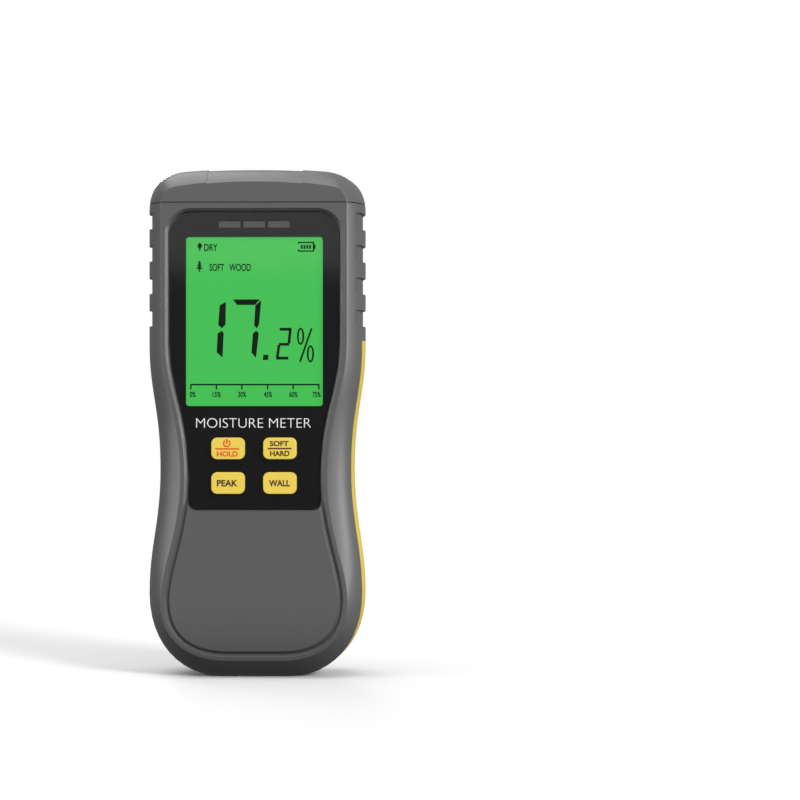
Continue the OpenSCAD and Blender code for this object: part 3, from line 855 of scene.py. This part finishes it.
figures = {
    "depth": -12.14,
    "bold": [  # one, seven and point
        [(-9.4, 122.1), (-9.5, 114.8), (-10.7, 113.5), (-11.9, 114.6), (-11.4, 121.0)],
        [(-10.8, 112.7), (-10.1, 112.0), (-10.5, 104.0), (-12.4, 105.7), (-12.1, 111.8)],
        [(-7.1, 122.9), (1.7, 122.9), (0.1, 121.1), (-5.8, 121.1)],
        [(0.2, 121.0), (2.1, 122.6), (1.4, 114.8), (0.7, 113.5), (-0.2, 114.4)],
        [(0.4, 112.7), (1.3, 112.0), (0.4, 103.9), (-1.1, 105.6), (-0.6, 111.8)],
        [(2.8, 104.9), (4.5, 104.9), (4.3, 103.2), (2.6, 103.2)]],
    "two": [((8.1, 113.2), (11.8, 113.2), 0.95), ((11.6, 113.4), (11.1, 108.6), 0.9),
            ((11.2, 108.3), (7.9, 108.3), 0.9), ((7.9, 108.1), (7.3, 103.9), 0.9),
            ((7.0, 103.8), (10.9, 103.8), 0.95)],
    "percent": {"at": [(14.9, 110.9), (18.1, 105.2)], "rx": 1.2, "rz": 2.8, "thick": 0.62,
                "slash": ((18.5, 113.5), (14.7, 102.6), 0.62)},
    "scale": {"z": 95.2, "x": (-20.95, 21.05), "thick": 0.5, "markTo": 93.6, "markThick": 0.45,
              "marks": (-20.8, -12.5, -4.2, 4.2, 12.5, 20.85), "step": 15, "numberZ": 92.0,
              "numbers": (-20.2, -12.4, -4.1, 4.3, 12.6, 20.1)},
    "battery": [((14.1, 141.4), (19.1, 141.4), 0.42), ((14.1, 138.6), (19.1, 138.6), 0.42),
                ((14.25, 141.4), (14.25, 140.9), 0.4), ((14.25, 139.2), (14.25, 138.6), 0.4),
                ((19.1, 141.6), (19.1, 138.4), 0.45), ((19.5, 140.7), (19.5, 139.3), 0.5)]
               + [((15.3 + 0.9 * i, 140.6), (15.3 + 0.9 * i, 139.3), 0.6) for i in range(4)],
    "drop": [(-17.9, 141.4), (-17.35, 140.9)] + arc(-17.9, 140.3, 0.75, 20, -200, 10) + [(-18.45, 140.9)],
    "stems": [((-17.9, 139.8), (-17.9, 138.7), 0.45), ((-18.0, 133.0), (-18.0, 131.9), 0.45)],
    "tree": [[(-18.0, top), (-18.0 + half, top - 1.05), (-18.0 - half, top - 1.05)]
             for top, half in ((135.6, 0.62), (134.75, 0.95), (133.85, 1.2))],
}


def makeFigures():
    y = figures["depth"]
    inside = y + prints["middle"]
    percent, scale = figures["percent"], figures["scale"]
    bold = [filled(drawShape(points, y), prints["thick"]) for points in figures["bold"]]
    fine = [stroke(*line, y) for line in figures["two"] + figures["battery"] + figures["stems"]]
    fine += [ovalPrint(at, percent["rx"], percent["rz"], percent["thick"], y) for at in percent["at"]]
    fine.append(stroke(*percent["slash"], y))
    fine.append(stroke(*[(x, scale["z"]) for x in scale["x"]], scale["thick"], y))
    fine += [stroke((x, scale["z"]), (x, scale["markTo"]), scale["markThick"], y) for x in scale["marks"]]
    for i, x in enumerate(scale["numbers"]):
        fine.append(words(f"{i * scale['step']}%", (x, scale["numberZ"]), 1.8, 2.7 if i else 1.9, inside,
                          "scaleNumber", 0.025))
    fine.append(words("DRY", (-14.3, 139.8), 2.35, 4.4, inside, "dryWord", 0.02))
    fine.append(words("SOFT   WOOD", (-8.0, 133.3), 2.4, 13.5, inside, "woodWord", 0.02))
    fine += [filled(drawShape(points, y), prints["thick"])
             for points in [figures["drop"]] + figures["tree"]]
    return joinAll(bold, "displayDigits"), joinAll(fine, "displayMarks")


digits, marks = makeFigures()
done(digits, "case", segmentFinish, "lcd_green")
done(marks, "case", faintSegment, "lcd_green")

title = words("MOISTURE METER", (-0.25, 82.75), 3.1, 37.3, -13.83, "titlePrint", -0.018)
done(title, "case", glowingWhitePrint, "white_plastic")

# the letters are high on a key with two rows, and taller where a word is alone
keyPrints = {"depth": -15.93, "line": 0.48, "bold": 0.035, "high": 1.75, "alone": 2.15}


def keyWord(text, x, z, high, wide):
    return words(text, (x, z), high, wide, keyPrints["depth"] + prints["middle"], text.lower() + "Word",
                 keyPrints["bold"])


def keyPrint(keyName, parts, finish):
    return done(joinAll(parts, keyName + "KeyPrint"), keyName + "_button", finish, "key_rubber")


def makeKeyPrints():
    y, line, high, alone = (keyPrints[k] for k in ("depth", "line", "high", "alone"))
    x, z = keys["power"]
    keyPrint("power", [ringPrint((x - 0.35, z + 1.65), 1.25, 0.46, y, 122, 418),
                       stroke((x - 0.35, z + 3.05), (x - 0.35, z + 1.5), line, y),
                       stroke((x - 4.1, z - 0.1), (x + 3.6, z - 0.1), line, y),
                       keyWord("HOLD", x - 0.2, z - 1.75, high, 6.8)], printRed)
    x, z = keys["wood"]
    keyPrint("wood", [keyWord("SOFT", x - 0.2, z + 1.6, high, 6.1),
                      stroke((x - 3.9, z), (x + 3.8, z), line, y),
                      keyWord("HARD", x, z - 1.6, high, 6.3)], printBrown)
    x, z = keys["peak"]
    keyPrint("peak", [keyWord("PEAK", x - 0.2, z, alone, 6.8)], printBrown)
    x, z = keys["building"]
    keyPrint("building", [keyWord("WALL", x - 0.1, z, alone, 6.8)], printBrown)


makeKeyPrints()
print("prints made")

floorTones = ((0.73, 0.73, 0.73, 1), (0.74, 0.74, 0.74, 1))
freshStart()
bpy.ops.mesh.primitive_plane_add(size=6, location=(0, 1.2, 0))
floor = bpy.context.object
floor.name = "floor"
floor.visible_diffuse = False  # the floor lights nothing from below
floor.visible_glossy = False
floorFinish = Finish("paleFloor", Roughness=0.9, Specular_IOR_Level=0.0)
floorFinish.feed(Base_Color=floorFinish.mixed(floorFinish.noise(200), *floorTones))
floor.data.materials.append(floorFinish.material)


def addLight(name, kind, azimuth, elevation, away, aim):  # azimuth 0 is in front, degrees
    a, e = math.radians(azimuth), math.radians(elevation)
    side = away * Vector((math.sin(a) * math.cos(e), -math.cos(a) * math.cos(e), math.sin(e)))
    freshStart()
    bpy.ops.object.light_add(type=kind, location=Vector(aim) + side)
    light = bpy.context.object
    light.name = name
    light.rotation_euler = side.to_track_quat("Z", "Y").to_euler()
    return light


def lamp(name, azimuth, elevation, away, size, watts, aim=(0, 0, 0.085)):
    light = addLight(name, "AREA", azimuth, elevation, away, aim)
    light.data.shape = "RECTANGLE"
    light.data.size, light.data.size_y = size
    light.data.energy = watts


def farLamp(name, azimuth, elevation, power, spread):  # even soft light from one side
    light = addLight(name, "SUN", azimuth, elevation, 2, (0, 0, 0))
    light.data.energy = power
    light.data.angle = math.radians(spread)


farLamp("skyLamp", -60, 80, 1.55, 60)
farLamp("keyLamp", 44, 25, 2.75, 20)
farLamp("backLamp", 188, 10, 1.8, 12)
farLamp("rimLamp", 204, 50, 0.45, 30)
lamp("rightStrip", 86, 0, 0.9, (0.12, 0.4), 3.2)
lamp("leftStrip", -75, 2, 1.0, (0.5, 0.6), 4.6)
lamp("topCard", -4, 0, 1.5, (1.6, 0.5), 1.9, (0, 0, 0.464))

world = bpy.data.worlds.new("studioWorld")
bpy.context.scene.world = world
world.use_nodes = True
air = NodeMaker(world.node_tree)
backdrop = world.node_tree.nodes["Background"]
direction = air.make("ShaderNodeTexCoord", out="Generated")
upward = air.make("ShaderNodeSeparateXYZ", None, {"Vector": direction}, "Z")
glow = air.make("ShaderNodeMapRange", None,  # darker below the horizon
                {"Value": upward, "From Min": -0.5, "From Max": 0.3, "To Min": 0.15, "To Max": 0.31})
strength = air.make("ShaderNodeMapRange", None,  # the camera sees it white
                    {"Value": air.make("ShaderNodeLightPath", out="Is Camera Ray"),
                     "To Min": glow, "To Max": 1.0})
world.node_tree.links.new(strength.socket, backdrop.inputs["Strength"])
backdrop.inputs["Color"].default_value = (1, 1, 1, 1)

studio = {"turn": 1.0, "away": 780.0, "side": 47.0, "height": 90.2, "lens": 106.3}
turn = math.radians(studio["turn"])
freshStart()
bpy.ops.object.camera_add()
camera = bpy.context.object
camera.data.lens = studio["lens"]
camera.data.clip_end = 50
camera.location = (
    (studio["side"] * math.cos(turn) + studio["away"] * math.sin(turn)) * mm,
    (-studio["away"] * math.cos(turn) + studio["side"] * math.sin(turn)) * mm,
    studio["height"] * mm)
camera.rotation_euler = (math.pi / 2, 0, turn)
bpy.context.scene.camera = camera
bpy.context.scene.view_settings.view_transform = "Standard"
print("floor, lights and camera made")
